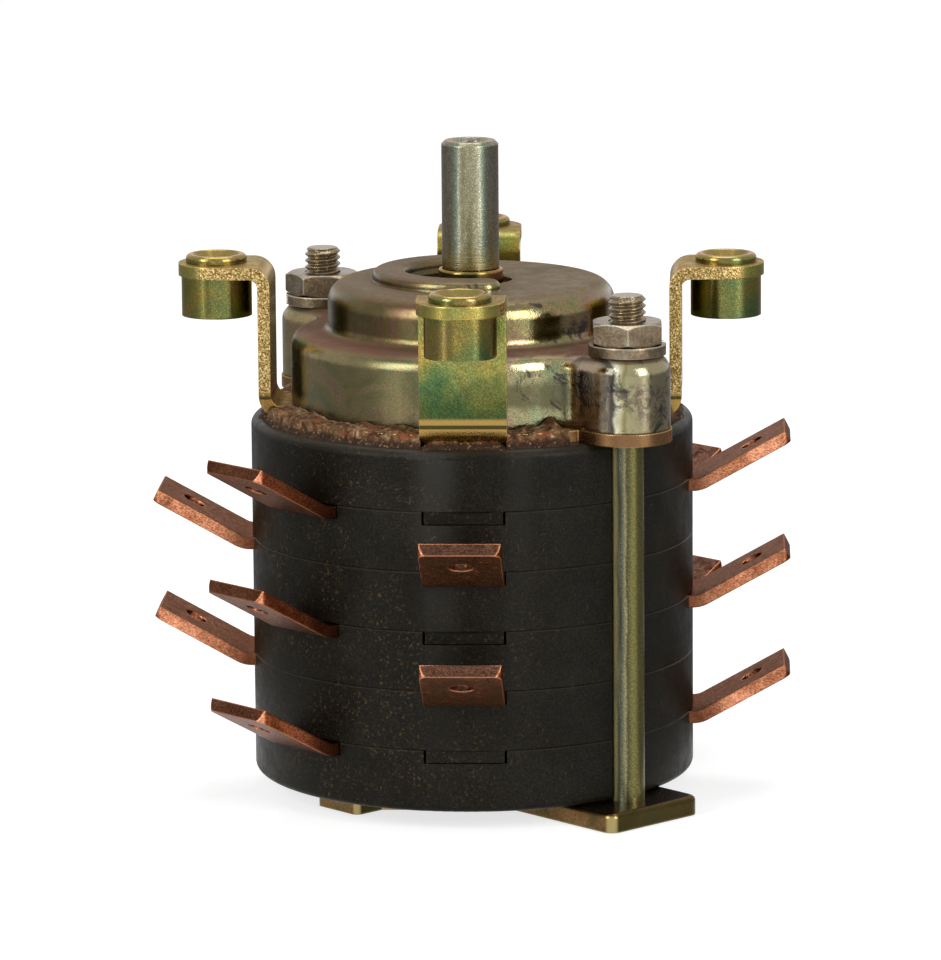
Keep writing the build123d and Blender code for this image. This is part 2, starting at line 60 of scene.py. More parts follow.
# Sizes that the added pieces share with the solids, in millimetres
ROD_PITCH_RADIUS = 23.6
ROD_RADIUS = 1.7
ROD_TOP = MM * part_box("tie_rod_front")[1][2]
THREAD_LOW = ROD_TOP - 12.0
THREAD_CREST = 1.93
THREAD_ROOT = 1.58
THREAD_PITCH = 0.7
PLATE_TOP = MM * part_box("index_cover")[0][2]
STACK_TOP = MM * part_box("deck_6")[1][2]
SHELF_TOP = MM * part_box("spring_washer_front")[0][2]
COLLAR_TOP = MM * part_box("shaft_bush")[1][2]
SKIRT_RADIUS = 19.0
PLATE_RADIUS = 21.6

# Where the finishes and the painted light and shade change, in millimetres: a pair is the start of a
# change and where it is full
ARM_HEIGHT = (44.5, 54.5)
ARM_SIDE = (6.0, 5.5)
ARM_BEND = (PLATE_TOP + 2.0, PLATE_TOP + 1.6)
ARM_CREASE = PLATE_TOP + 1.0
ARM_SHEARED = (42.0, 43.0)
REAR_ARM = (14.0, 18.0)
ROD_THREADED = (50.0, 50.6)
COVER_DOME = (SHELF_TOP - 0.6, SHELF_TOP + 0.4)
COVER_SHELF = (SHELF_TOP + 0.9, SHELF_TOP + 0.2)
COVER_LEFT = (-18.5, -9.0)
COVER_RIGHT = (-8.0, 2.0)
COVER_SKIRT = (21.5, 19.8)
COVER_BAND = PLATE_TOP + 5.0
TERMINAL_ROOT_SHADE = (28.5, 23.6)
DECK_DUST = (6.0, 23.0)
DECK_SHEEN = (2.0, 46.0)
SHAFT_FOOT = (COLLAR_TOP + 3.0, COLLAR_TOP)
RESIDUE_DRIED = (SKIRT_RADIUS + 0.65, SKIRT_RADIUS + 0.3)
RESIDUE_LOW = (STACK_TOP + 0.95, STACK_TOP + 0.35)

# Parts of a noise's range that hold most of it
GRAIN = (0.34, 0.68)
DULL_GRAIN = (0.34, 0.66)
WIDE = (0.3, 0.7)


def on_circle(radius, azimuth):
    """Point at an azimuth, counted from the front towards the right."""
    a = math.radians(azimuth)
    return radius * math.sin(a), -radius * math.cos(a)


def direction(azimuth, elevation):
    """Unit vector from the part towards an azimuth and an elevation."""
    e = math.radians(elevation)
    x, y = on_circle(math.cos(e), azimuth)
    return Vector((x, y, math.sin(e)))


def make_camera():
    """Camera at the place the photograph was taken from."""
    back = direction(CAMERA_AZIMUTH, CAMERA_ELEVATION)
    data = bpy.data.cameras.new("camera")
    data.lens = FOCAL_PIXELS * SENSOR / PHOTO_LONG_SIDE
    data.sensor_width = SENSOR
    data.clip_start = 0.01
    data.clip_end = 20
    camera = bpy.data.objects.new("camera", data)
    bpy.context.scene.collection.objects.link(camera)
    camera.rotation_mode = "QUATERNION"
    camera.location = AIM + back * CAMERA_DISTANCE
    roll = Quaternion((0, 0, 1), math.radians(-CAMERA_ROLL))
    camera.rotation_quaternion = (-back).to_track_quat("-Z", "Y") @ roll
    bpy.context.scene.camera = camera


class Paint:
    """One node material. Lengths in its patterns are millimetres in the row frame."""

    def __init__(self, name):
        self.material = bpy.data.materials.new(name)
        self.material.use_nodes = True
        self.tree = self.material.node_tree
        self.shader = self.tree.nodes["Principled BSDF"]
        coordinates = self.node("ShaderNodeTexCoord").outputs["Object"]
        scaled = self.node("ShaderNodeVectorMath", operation="SCALE")
        self.link(coordinates, scaled.inputs[0])
        scaled.inputs["Scale"].default_value = MM
        self.place = scaled.outputs[0]
        self.normal = self.node("ShaderNodeNewGeometry").outputs["Normal"]
        self.x, self.y, self.z = self.parts(self.place)
        self.normal_x, self.normal_y, self.normal_z = self.parts(self.normal)
        self.eased = {}

    def node(self, kind, **settings):
        made = self.tree.nodes.new(kind)
        for key, value in settings.items():
            setattr(made, key, value)
        return made

    def link(self, source, target):
        self.tree.links.new(source, target)

    def put(self, value, socket):
        """A number or colour goes on the socket, anything else is linked."""
        if isinstance(value, (int, float)):
            socket.default_value = value
        elif isinstance(value, tuple):
            socket.default_value = (*value, 1) if len(socket.default_value) == 4 else value
        else:
            self.link(value, socket)

    def math(self, operation, a, b=0.0):
        made = self.node("ShaderNodeMath", operation=operation)
        self.put(a, made.inputs[0])
        self.put(b, made.inputs[1])
        return made.outputs[0]

    def times(self, a, b):
        return self.math("MULTIPLY", a, b)

    def plus(self, a, b):
        return self.math("ADD", a, b)

    def minus(self, a, b):
        return self.math("SUBTRACT", a, b)

    def absolute(self, value):
        return self.math("ABSOLUTE", value)

    def parts(self, vector):
        made = self.node("ShaderNodeSeparateXYZ")
        self.link(vector, made.inputs[0])
        return made.outputs["X"], made.outputs["Y"], made.outputs["Z"]

    def along(self, towards):
        """Distance from the shaft's axis, counted along one level direction."""
        made = self.node("ShaderNodeVectorMath", operation="DOT_PRODUCT")
        self.link(self.place, made.inputs[0])
        made.inputs[1].default_value = towards
        return made.outputs["Value"]

    def radial(self):
        """Distance from the shaft's axis."""
        made = self.node("ShaderNodeVectorMath", operation="LENGTH")
        self.link(self.stretched((1.0, 1.0, 0.0)), made.inputs[0])
        return made.outputs["Value"]

    def stretched(self, scale):
        """The place with its axes scaled, for patterns that run along or round the piece."""
        made = self.node("ShaderNodeMapping")
        self.link(self.place, made.inputs["Vector"])
        made.inputs["Scale"].default_value = scale
        return made.outputs[0]

    def noise(self, scale, detail, roughness, warp=0.0, place=None):
        made = self.node("ShaderNodeTexNoise")
        self.link(place or self.place, made.inputs["Vector"])
        made.inputs["Scale"].default_value = scale
        made.inputs["Detail"].default_value = detail
        made.inputs["Roughness"].default_value = roughness
        made.inputs["Distortion"].default_value = warp
        return made.outputs["Fac"]

    def ramp(self, value, *stops):
        """Colour that follows a value through stops, each a position and a colour."""
        made = self.node("ShaderNodeValToRGB")
        elements = made.color_ramp.elements
        while len(elements) < len(stops):
            elements.new(0.5)
        for element, (position, colour) in zip(elements, stops):
            element.position = position
            element.color = (*colour, 1)
        self.link(value, made.inputs["Fac"])
        return made.outputs["Color"]

    def step(self, value, low, high, out_low=0.0, out_high=1.0):
        """Smooth change from one number to another while a value goes from low to high."""
        made = self.node("ShaderNodeMapRange", interpolation_type="SMOOTHSTEP")
        self.link(value, made.inputs["Value"])
        made.inputs["From Min"].default_value = low
        made.inputs["From Max"].default_value = high
        made.inputs["To Min"].default_value = out_low
        made.inputs["To Max"].default_value = out_high
        return made.outputs["Result"]

    def mix(self, share, a, b, blend="MIX"):
        """Two colours mixed by a share."""
        made = self.node("ShaderNodeMix", data_type="RGBA", blend_type=blend)
        self.put(share, made.inputs["Factor"])
        self.put(a, made.inputs[6])
        self.put(b, made.inputs[7])
        return made.outputs[2]

    def tinted(self, shade, by):
        return self.mix(1.0, shade, by, "MULTIPLY")

    def with_grain_and_glints(self, shade, grain, brightest):
        """A colour broken up by fine light and dark grain: the grain of a crystalline coat, its
        brightest specks painted glints.
        """
        grain_and_glints = self.ramp(
            grain,
            (0.34, (0.65, 0.65, 0.65)),
            (0.52, (0.97, 0.97, 0.97)),
            (0.68, (brightest, brightest, brightest)),
        )
        return self.tinted(shade, grain_and_glints)

    def blend(self, share, a, b):
        """Two numbers mixed by a share."""
        made = self.node("ShaderNodeMix", data_type="FLOAT")
        self.put(share, made.inputs[0])
        self.put(a, made.inputs[2])
        self.put(b, made.inputs[3])
        return made.outputs[0]

    def soft_normal(self, edge_mm):
        """Normal with the edges of the piece eased."""
        if edge_mm not in self.eased:
            bevel = self.node("ShaderNodeBevel", samples=6)
            bevel.inputs["Radius"].default_value = edge_mm / MM
            self.eased[edge_mm] = bevel.outputs[0]
        return self.eased[edge_mm]

    def edges(self, edge_mm, start=0.02, full=0.22):
        """1 along the edges of the piece, 0 on its faces."""
        turned = self.node("ShaderNodeVectorMath", operation="DOT_PRODUCT")
        self.link(self.soft_normal(edge_mm), turned.inputs[0])
        self.link(self.normal, turned.inputs[1])
        return self.step(turned.outputs["Value"], 1 - start, 1 - full)

    def bump(self, height, distance_mm, strength, edge_mm=0.0):
        """Fine relief of the surface, with its edges eased if a width is given."""
        made = self.node("ShaderNodeBump")
        self.link(height, made.inputs["Height"])
        made.inputs["Distance"].default_value = distance_mm / MM
        made.inputs["Strength"].default_value = strength
        if edge_mm:
            self.link(self.soft_normal(edge_mm), made.inputs["Normal"])
        self.link(made.outputs[0], self.shader.inputs["Normal"])

    def finish(self, colour, metallic, roughness, **others):
        """Set the shader's sockets and give the material."""
        self.put(colour, self.shader.inputs["Base Color"])
        self.put(metallic, self.shader.inputs["Metallic"])
        self.put(roughness, self.shader.inputs["Roughness"])
        for name, value in others.items():
            self.put(value, self.shader.inputs[name.replace("_", " ")])
        return self.material


# Colours of the zinc coat
OLIVE = (0.170, 0.160, 0.054)
GOLD = (0.250, 0.180, 0.050)
GREEN = (0.115, 0.150, 0.056)
TEAL = (0.055, 0.110, 0.068)
PINK = (0.230, 0.125, 0.085)
COAT_SHEEN = (1.0, 0.82, 0.72)


def passivated(paint, tint_scale=0.13, warm=0.0):
    """Colours and grain of a yellow passivated zinc coat: olive, gold, a little green and pink."""
    drift = paint.noise(tint_scale, 2.0, 0.5, 0.6)
    tint = paint.ramp(
        drift,
        (0.28 - warm, TEAL),
        (0.40 - warm, GREEN),
        (0.50 - warm, OLIVE),
        (0.62 - warm, GOLD),
        (0.76 - warm, PINK),
    )
    grain = paint.noise(7.0, 2.0, 0.6)
    return paint.with_grain_and_glints(tint, grain, 1.5), grain


def zinc_sheet(name):
    """Glossy coated sheet: painted reflections make each arm green at its foot, brighter up it and gold
    at the bends; rough where it was sheared.

    The rear arm is darker by painted shade, and dust lies on what faces up.
    """
    paint = Paint(name)
    shade, grain = passivated(paint)
    height = paint.z
    across = paint.absolute(paint.x)
    along = paint.absolute(paint.y)
    # Painted reflection: the arms run from dark green at the foot to bright near the top
    uneven = paint.plus(height, paint.times(paint.noise(0.5, 4.0, 0.65), 5.0))
    arm_reflection_gradient = paint.ramp(
        paint.step(uneven, *ARM_HEIGHT),
        (0.10, (0.42, 0.60, 0.55)),
        (0.45, (0.85, 1.05, 0.95)),
        (0.75, (1.70, 1.75, 1.45)),
    )
    shade = paint.tinted(shade, arm_reflection_gradient)
    # Painted shade: the rear arm is darker
    rear = paint.step(paint.y, *REAR_ARM)
    shade = paint.mix(rear, shade, paint.tinted(shade, (0.66, 0.72, 0.66)))
    on_arm = paint.step(paint.math("MINIMUM", across, along), *ARM_SIDE)
    # Painted reflections at the bend: gold with a dark line along the crease; the plate's rim beside it
    # is red brown
    bend = paint.step(height, *ARM_BEND)
    crease_dark_reflection = paint.step(paint.absolute(paint.minus(height, ARM_CREASE)), 0.3, 0.12)
    bend_reflection = paint.mix(crease_dark_reflection, (0.420, 0.260, 0.075), (0.060, 0.045, 0.014))
    low_tint = paint.mix(on_arm, (0.210, 0.110, 0.050), bend_reflection)
    shade = paint.mix(paint.times(bend, 0.9), shade, low_tint)
    on_side_arm = paint.math("GREATER_THAN", across, along)
    side_x = paint.absolute(paint.normal_x)
    side_y = paint.absolute(paint.normal_y)
    sheared = paint.step(paint.blend(on_side_arm, side_x, side_y), 0.8, 0.95)
    sheared = paint.times(sheared, paint.step(height, *ARM_SHEARED))
    torn = paint.noise(5.5, 3.0, 0.65)
    # Rough gold of the sheared edges; its brightest flecks are painted glints
    rough_gold = paint.ramp(
        torn,
        (0.38, (0.120, 0.060, 0.020)),
        (0.47, (0.310, 0.200, 0.064)),
        (0.55, (0.470, 0.335, 0.120)),
        (0.64, (0.930, 0.750, 0.380)),
    )
    shade = paint.mix(sheared, shade, rough_gold)
    upward = paint.step(paint.normal_z, 0.6, 0.9)
    dusty = paint.times(upward, paint.step(paint.noise(0.9, 4.0, 0.6), 0.35, 0.65, 0.35, 0.85))
    shade = paint.mix(dusty, shade, (0.150, 0.095, 0.042))
    # Light edges: partly wear, partly painted highlight
    shade = paint.mix(paint.times(paint.edges(0.2), 0.6), shade, (0.62, 0.44, 0.17))
    rough = paint.step(grain, *WIDE, 0.34, 0.16)
    rough = paint.blend(sheared, rough, 0.36)
    rough = paint.blend(dusty, rough, 0.6)
    relief = paint.plus(grain, paint.times(torn, sheared))
    paint.bump(relief, 0.025, 0.6, 0.2)
    return paint.finish(shade, 1.0, rough, Specular_Tint=COAT_SHEEN)


def plate_zinc(name):
    """Coat of the end plate: brown gold, painted dark on what faces right, bright along its rolled edge
    from wear and painted highlight, with a painted highlight on its front tip.
    """
    paint = Paint(name)
    drift = paint.noise(0.2, 3.0, 0.55, 0.8)
    shade = paint.ramp(
        drift,
        (0.32, (0.055, 0.050, 0.018)),
        (0.46, (0.120, 0.070, 0.024)),
        (0.58, (0.180, 0.100, 0.038)),
        (0.70, (0.110, 0.090, 0.036)),
    )
    grain = paint.noise(6.0, 2.0, 0.6)
    shade = paint.tinted(shade, paint.step(grain, *GRAIN, 0.7, 1.3))
    # Painted shade on what faces right
    right = paint.step(paint.normal_x, 0.2, 0.6, 0.0, 0.85)
    shade = paint.mix(right, shade, (0.034, 0.028, 0.008))
    # Light edges: partly wear, partly painted highlight
    shade = paint.mix(paint.times(paint.edges(0.35), 0.7), shade, (0.50, 0.40, 0.16))
    # Painted highlight on the front tip, where the face turns to the front
    front_corner_highlight = paint.step(paint.normal_y, -0.78, -0.99)
    shade = paint.mix(paint.times(front_corner_highlight, 0.5), shade, (0.62, 0.52, 0.22))
    rough = paint.step(grain, *WIDE, 0.28, 0.14)
    paint.bump(grain, 0.03, 0.5, 0.35)
    return paint.finish(shade, 1.0, rough)


def zinc_turned(name, tone, warm):
    """Coated turned metal with fine rings left by the tool, and a painted gold highlight on what faces
    up.
    """
    paint = Paint(name)
    shade, grain = passivated(paint, 0.16, warm)
    shade = paint.tinted(shade, tone)
    # Painted highlight: gold on what faces up
    rim = paint.step(paint.normal_z, 0.4, 0.8, 0.0, 0.6)
    shade = paint.mix(rim, shade, (0.320, 0.205, 0.064))
    # Light edges: partly wear, partly painted highlight
    shade = paint.mix(paint.times(paint.edges(0.25), 0.6), shade, (0.66, 0.50, 0.26))
    rings = paint.noise(5.0, 3.0, 0.7, 0.0, paint.stretched((0.04, 0.04, 1.0)))
    rough = paint.step(grain, *WIDE, 0.24, 0.10)
    paint.bump(paint.plus(rings, grain), 0.02, 0.5, 0.25)
    return paint.finish(shade, 1.0, rough, Specular_Tint=COAT_SHEEN)


def zinc_rod(name):
    """Drawn rod: painted reflections in gold, olive, dark and light bands up its sides, wavering along
    it; browner on the thread.
    """
    paint = Paint(name)
    # Painted reflections: bands chosen by which way the surface faces, wavering along the rod
    streak = paint.noise(0.9, 4.0, 0.65, 0.3, paint.stretched((1.0, 1.0, 0.12)))
    across = paint.plus(paint.normal_x, paint.times(streak, 0.5))
    shade = paint.ramp(
        paint.step(across, -1.25, 1.75),
        (0.08, (0.330, 0.280, 0.105)),
        (0.17, (0.270, 0.235, 0.105)),
        (0.26, (0.050, 0.064, 0.044)),
        (0.34, (0.098, 0.104, 0.062)),
        (0.42, (0.225, 0.196, 0.104)),
        (0.48, (0.060, 0.062, 0.030)),
        (0.62, (0.140, 0.122, 0.040)),
        (0.90, (0.090, 0.082, 0.026)),
    )
    grain = paint.noise(6.0, 2.0, 0.6)
    shade = paint.tinted(shade, paint.step(grain, *GRAIN, 0.7, 1.35))
    threaded = paint.step(paint.z, *ROD_THREADED)
    worn = paint.ramp(grain, (0.35, (0.10, 0.07, 0.04)), (0.65, (0.30, 0.235, 0.14)))
    shade = paint.mix(threaded, shade, worn)
    rough = paint.step(grain, *WIDE, 0.36, 0.18)
    paint.bump(grain, 0.02, 0.5)
    return paint.finish(shade, paint.step(across, -0.7, 0.0, 0.2, 0.85), rough)


def cover_zinc(name):
    """Drawn cover: olive coat, glossier towards the right, painted lighter at the far left and much
    brighter towards the right, with dust on what faces up.

    Painted reflections run as light and dark bands up the front ear, and painted dark reflections lie in
    patches on it and on the skirt, and as a band across the skirt.
    """
    paint = Paint(name)
    drift = paint.noise(0.16, 3.0, 0.55, 1.2)
    shade = paint.ramp(
        drift,
        (0.30, (0.112, 0.126, 0.070)),
        (0.42, (0.144, 0.132, 0.063)),
        (0.52, (0.178, 0.144, 0.070)),
        (0.62, (0.172, 0.112, 0.074)),
        (0.72, (0.144, 0.146, 0.086)),
    )
    dome = paint.step(paint.z, *COVER_DOME)
    shade = paint.mix(dome, shade, paint.tinted(shade, (0.70, 0.62, 0.55)))
    # Painted light and shade across the cover: lighter at the far left, darker left of the middle, much
    # brighter towards the right
    shade = paint.tinted(shade, paint.step(paint.x, *COVER_LEFT, 1.42, 0.85))
    right = paint.step(paint.x, *COVER_RIGHT)
    bright = paint.tinted(shade, (2.05, 2.25, 2.45))
    shade = paint.mix(right, shade, bright)
    grain = paint.noise(6.5, 2.0, 0.6)
    fine_speck = paint.step(grain, *GRAIN, 0.85, 1.15)
    strong_speck = paint.step(grain, *GRAIN, 0.75, 1.3)
    shade = paint.tinted(shade, paint.blend(right, fine_speck, strong_speck))
    drawn = paint.noise(1.3, 3.0, 0.6, 0.0, paint.stretched((1.0, 1.0, 0.06)))
    shade = paint.mix(0.12, shade, paint.step(drawn, 0.35, 0.65, 0.7, 1.25), "MULTIPLY")
    # Painted dark reflection: a wavering band across the skirt's right part
    waved = paint.plus(paint.z, paint.times(paint.noise(0.22, 3.0, 0.6), 3.0))
    band = paint.step(paint.absolute(paint.minus(waved, COVER_BAND)), 1.9, 0.8, 0.0, 0.8)
    on_skirt = paint.step(paint.radial(), *COVER_SKIRT)
    skirt_dark_reflection = paint.times(paint.times(band, on_skirt), right)
    shade = paint.mix(skirt_dark_reflection, shade, (0.092, 0.082, 0.042))
    # Painted reflections: light and dark bands up the front ear by which way it faces, broken by dark
    # mottling in the band
    facing = paint.plus(paint.normal_x, paint.times(drift, 0.4))
    ear_reflection_bands = paint.ramp(
        paint.step(facing, -0.8, 1.2),
        (0.10, (0.330, 0.250, 0.180)),
        (0.20, (0.034, 0.027, 0.038)),
        (0.27, (0.050, 0.044, 0.050)),
        (0.32, (0.900, 0.860, 0.680)),
        (0.40, (0.560, 0.520, 0.310)),
        (0.48, (0.220, 0.200, 0.085)),
        (0.56, (0.340, 0.315, 0.165)),
        (0.80, (0.260, 0.225, 0.140)),
    )
    on_ear = paint.times(paint.minus(1.0, on_skirt), right)
    mottled_ear_reflection = paint.times(band, paint.step(paint.noise(1.6, 4.0, 0.7), 0.42, 0.56))
    ear_reflection_bands = paint.mix(mottled_ear_reflection, ear_reflection_bands, (0.070, 0.056, 0.060))
    shade = paint.mix(paint.times(on_ear, 0.8), shade, ear_reflection_bands)
    # Painted dark reflections: patches, most on the right
    dark_reflection_blots = paint.step(paint.noise(0.33, 5.0, 0.7, 0.8), 0.56, 0.66)
    dark_reflection_blots = paint.times(dark_reflection_blots, paint.blend(right, 0.25, 0.85))
    shade = paint.mix(dark_reflection_blots, shade, (0.035, 0.030, 0.036))
    up = paint.step(paint.normal_z, 0.55, 0.97)
    patchy = paint.step(paint.noise(0.5, 5.0, 0.65), 0.30, 0.62, 0.78, 1.0)
    dust = paint.times(up, patchy)
    dust_tint = paint.ramp(
        paint.noise(2.2, 5.0, 0.7),
        (0.35, (0.094, 0.066, 0.040)),
        (0.65, (0.145, 0.104, 0.063)),
    )
    shelf = paint.step(paint.z, *COVER_SHELF)
    dust_tint = paint.mix(paint.times(shelf, 0.75), dust_tint, (0.110, 0.042, 0.026))
    shade = paint.mix(dust, shade, dust_tint)
    satin = paint.step(drift, *WIDE, 0.20, 0.32)
    gloss = paint.step(grain, *WIDE, 0.14, 0.06)
    rough = paint.blend(dust, paint.blend(right, satin, gloss), 0.7)
    metallic = paint.blend(dust, 1.0, 0.05)
    dents = paint.times(paint.noise(0.7, 3.0, 0.6), paint.blend(right, 0.6, 3.0))
    paint.bump(paint.plus(grain, dents), 0.03, 0.4, 0.5)
    return paint.finish(shade, metallic, rough, Specular_IOR_Level=0.1)


def fastener_steel(name):
    """Dull zinc plate gone grey and pinkish, bright along its edges from wear and painted highlight."""
    paint = Paint(name)
    drift = paint.noise(0.4, 4.0, 0.6, 0.8)
    shade = paint.ramp(
        drift,
        (0.32, (0.130, 0.102, 0.064)),
        (0.50, (0.210, 0.152, 0.097)),
        (0.66, (0.245, 0.212, 0.146)),
    )
    grain = paint.noise(3.4, 4.0, 0.7)
    shade = paint.tinted(shade, paint.step(grain, *DULL_GRAIN, 0.65, 1.3))
    # Light edges: partly wear, partly painted highlight
    shade = paint.mix(paint.edges(0.28, 0.02, 0.12), shade, (0.50, 0.45, 0.35))
    paint.bump(grain, 0.03, 0.5, 0.28)
    return paint.finish(shade, 1.0, paint.step(grain, *WIDE, 0.40, 0.24))


def plain_steel(name, tone):
    """Oiled steel of the hidden works."""
    paint = Paint(name)
    grain = paint.noise(1.2, 5.0, 0.65, 0.0, paint.stretched((1.0, 1.0, 3.0)))
    shade = paint.ramp(grain, (0.3, tuple(0.7 * c for c in tone)), (0.7, tuple(1.2 * c for c in tone)))
    paint.bump(grain, 0.02, 0.4, 0.1)
    return paint.finish(shade, 1.0, paint.step(grain, *WIDE, 0.45, 0.28))


def copper(name):
    """Tarnished strip: mauve brown above, dark red below from tarnish and painted shade, copper along
    its sheared edges.

    The ends are darker; painted shade darkens the root, the ends that face left and the edges that face
    right.
    """
    paint = Paint(name)
    up = paint.normal_z
    sheared = paint.step(paint.absolute(up), 0.78, 0.62)
    grain = paint.noise(3.4, 4.0, 0.7)
    stain = paint.noise(0.9, 5.0, 0.7, 0.8)
    top = paint.ramp(
        stain,
        (0.36, (0.035, 0.018, 0.013)),
        (0.48, (0.100, 0.055, 0.042)),
        (0.58, (0.150, 0.082, 0.060)),
        (0.68, (0.220, 0.130, 0.100)),
    )
    # Underneath: dark red, partly tarnish and partly painted shade
    under = paint.ramp(
        stain,
        (0.32, (0.065, 0.030, 0.015)),
        (0.55, (0.125, 0.050, 0.022)),
        (0.70, (0.260, 0.090, 0.034)),
    )
    broad = paint.mix(paint.step(up, -0.2, 0.2), under, top)
    broad = paint.tinted(broad, paint.step(grain, *DULL_GRAIN, 0.7, 1.25))
    tarnish = paint.noise(0.22, 3.0, 0.6, 0.5)
    bright = paint.ramp(
        tarnish,
        (0.34, (0.270, 0.098, 0.048)),
        (0.48, (0.460, 0.180, 0.092)),
        (0.62, (0.690, 0.295, 0.160)),
    )
    end = paint.step(up, 0.22, 0.42)
    # Painted shade on the ends that face left
    left_facing_end_shade = paint.step(paint.normal_x, -0.3, -0.6)
    end_tint = paint.mix(left_facing_end_shade, (0.055, 0.030, 0.021), (0.032, 0.013, 0.008))
    bright = paint.mix(paint.times(end, 0.9), bright, end_tint)
    torn = paint.noise(4.0, 3.0, 0.65, 0.0, paint.stretched((1.0, 1.0, 1.6)))
    bright = paint.tinted(bright, paint.step(torn, 0.32, 0.68, 0.5, 1.6))
    # Painted shade on the edges that face right
    right_facing_shade = paint.step(paint.normal_x, 0.30, 0.62)
    bright = paint.mix(right_facing_shade, bright, paint.tinted(bright, (0.38, 0.27, 0.21)))
    shade = paint.mix(sheared, broad, bright)
    # Light edges: partly wear, partly painted highlight
    shade = paint.mix(paint.times(paint.edges(0.3), 0.75), shade, (0.74, 0.30, 0.15))
    # Painted shade at the root, next to the deck
    root = paint.step(paint.radial(), *TERMINAL_ROOT_SHADE, 0.0, 0.8)
    shade = paint.mix(root, shade, (0.085, 0.030, 0.013))
    rough = paint.blend(sheared, paint.step(grain, *WIDE, 0.42, 0.24), 0.28)
    relief = paint.plus(grain, paint.times(torn, sheared))
    paint.bump(relief, 0.04, 0.6, 0.3)
    metallic = paint.step(up, -0.6, -0.3, 0.6, 1.0)
    return paint.finish(shade, metallic, rough, Specular_Tint=(0.67, 0.47, 0.40))


def deck_phenolic(name):
    """Black moulding: semi-matt and grained, with brown dust towards the left front.

    Two upright grey bands at the front are a painted sheen.
    """
    paint = Paint(name)
    grain = paint.noise(3.5, 6.0, 0.75)
    cloud = paint.noise(0.12, 4.0, 0.6, 0.6)
    shade = paint.ramp(cloud, (0.35, (0.0046, 0.0040, 0.0027)), (0.65, (0.0082, 0.0073, 0.0052)))
    shade = paint.tinted(shade, paint.step(paint.noise(5.0, 3.0, 0.7), 0.36, 0.66, 0.5, 1.7))
    specks = paint.step(paint.noise(2.8, 5.0, 0.75), 0.55, 0.65)
    patches = paint.step(paint.noise(0.20, 4.0, 0.65, 0.5), 0.42, 0.60, 0.15, 1.0)
    left_front = paint.step(paint.along((-0.64, -0.77, 0.0)), *DECK_DUST, 0.03, 0.75)
    dusting = paint.times(paint.times(specks, patches), left_front)
    shade = paint.mix(dusting, shade, (0.095, 0.060, 0.022))
    # Painted sheen: two upright grey bands at the front, by which way the surface faces
    facing = paint.plus(paint.normal_x, paint.times(cloud, 0.08))
    painted_sheen = paint.step(paint.absolute(paint.plus(facing, 0.08)), 0.14, 0.02)
    second_painted_sheen = paint.step(paint.absolute(paint.minus(facing, 0.285)), 0.09, 0.01, 0.0, 0.35)
    painted_sheen = paint.times(paint.plus(painted_sheen, second_painted_sheen), paint.step(paint.normal_y, -0.5, -0.7))
    painted_sheen = paint.times(painted_sheen, paint.step(paint.z, *DECK_SHEEN, 0.05, 0.62))
    shade = paint.mix(painted_sheen, shade, (0.034, 0.032, 0.028))
    lint = paint.step(paint.noise(1.1, 5.0, 0.8, 2.0, paint.stretched((1.0, 1.0, 0.5))), 0.63, 0.70)
    shade = paint.mix(paint.times(lint, 0.35), shade, (0.13, 0.12, 0.09))
    ledge = paint.step(paint.normal_z, 0.35, 0.8)
    shade = paint.mix(paint.times(ledge, 0.25), shade, (0.060, 0.048, 0.032))
    worn = paint.times(paint.edges(0.06), paint.step(paint.noise(0.8, 4.0, 0.7), 0.50, 0.68, 0.0, 0.4))
    shade = paint.mix(worn, shade, (0.050, 0.045, 0.034))
    rough = paint.step(paint.noise(0.5, 5.0, 0.7), *WIDE, 0.32, 0.48)
    paint.bump(grain, 0.03, 0.5, 0.06)
    return paint.finish(shade, 0.0, rough, Specular_IOR_Level=0.09, Specular_Tint=(1.0, 0.96, 0.88))


def rotor_phenolic(name):
    """Brown moulding of the hidden rotors."""
    paint = Paint(name)
    cloud = paint.noise(0.5, 5.0, 0.65)
    shade = paint.ramp(cloud, (0.3, (0.06, 0.025, 0.012)), (0.7, (0.13, 0.06, 0.03)))
    paint.bump(cloud, 0.03, 0.4)
    return paint.finish(shade, 0.0, paint.step(cloud, *WIDE, 0.4, 0.55))


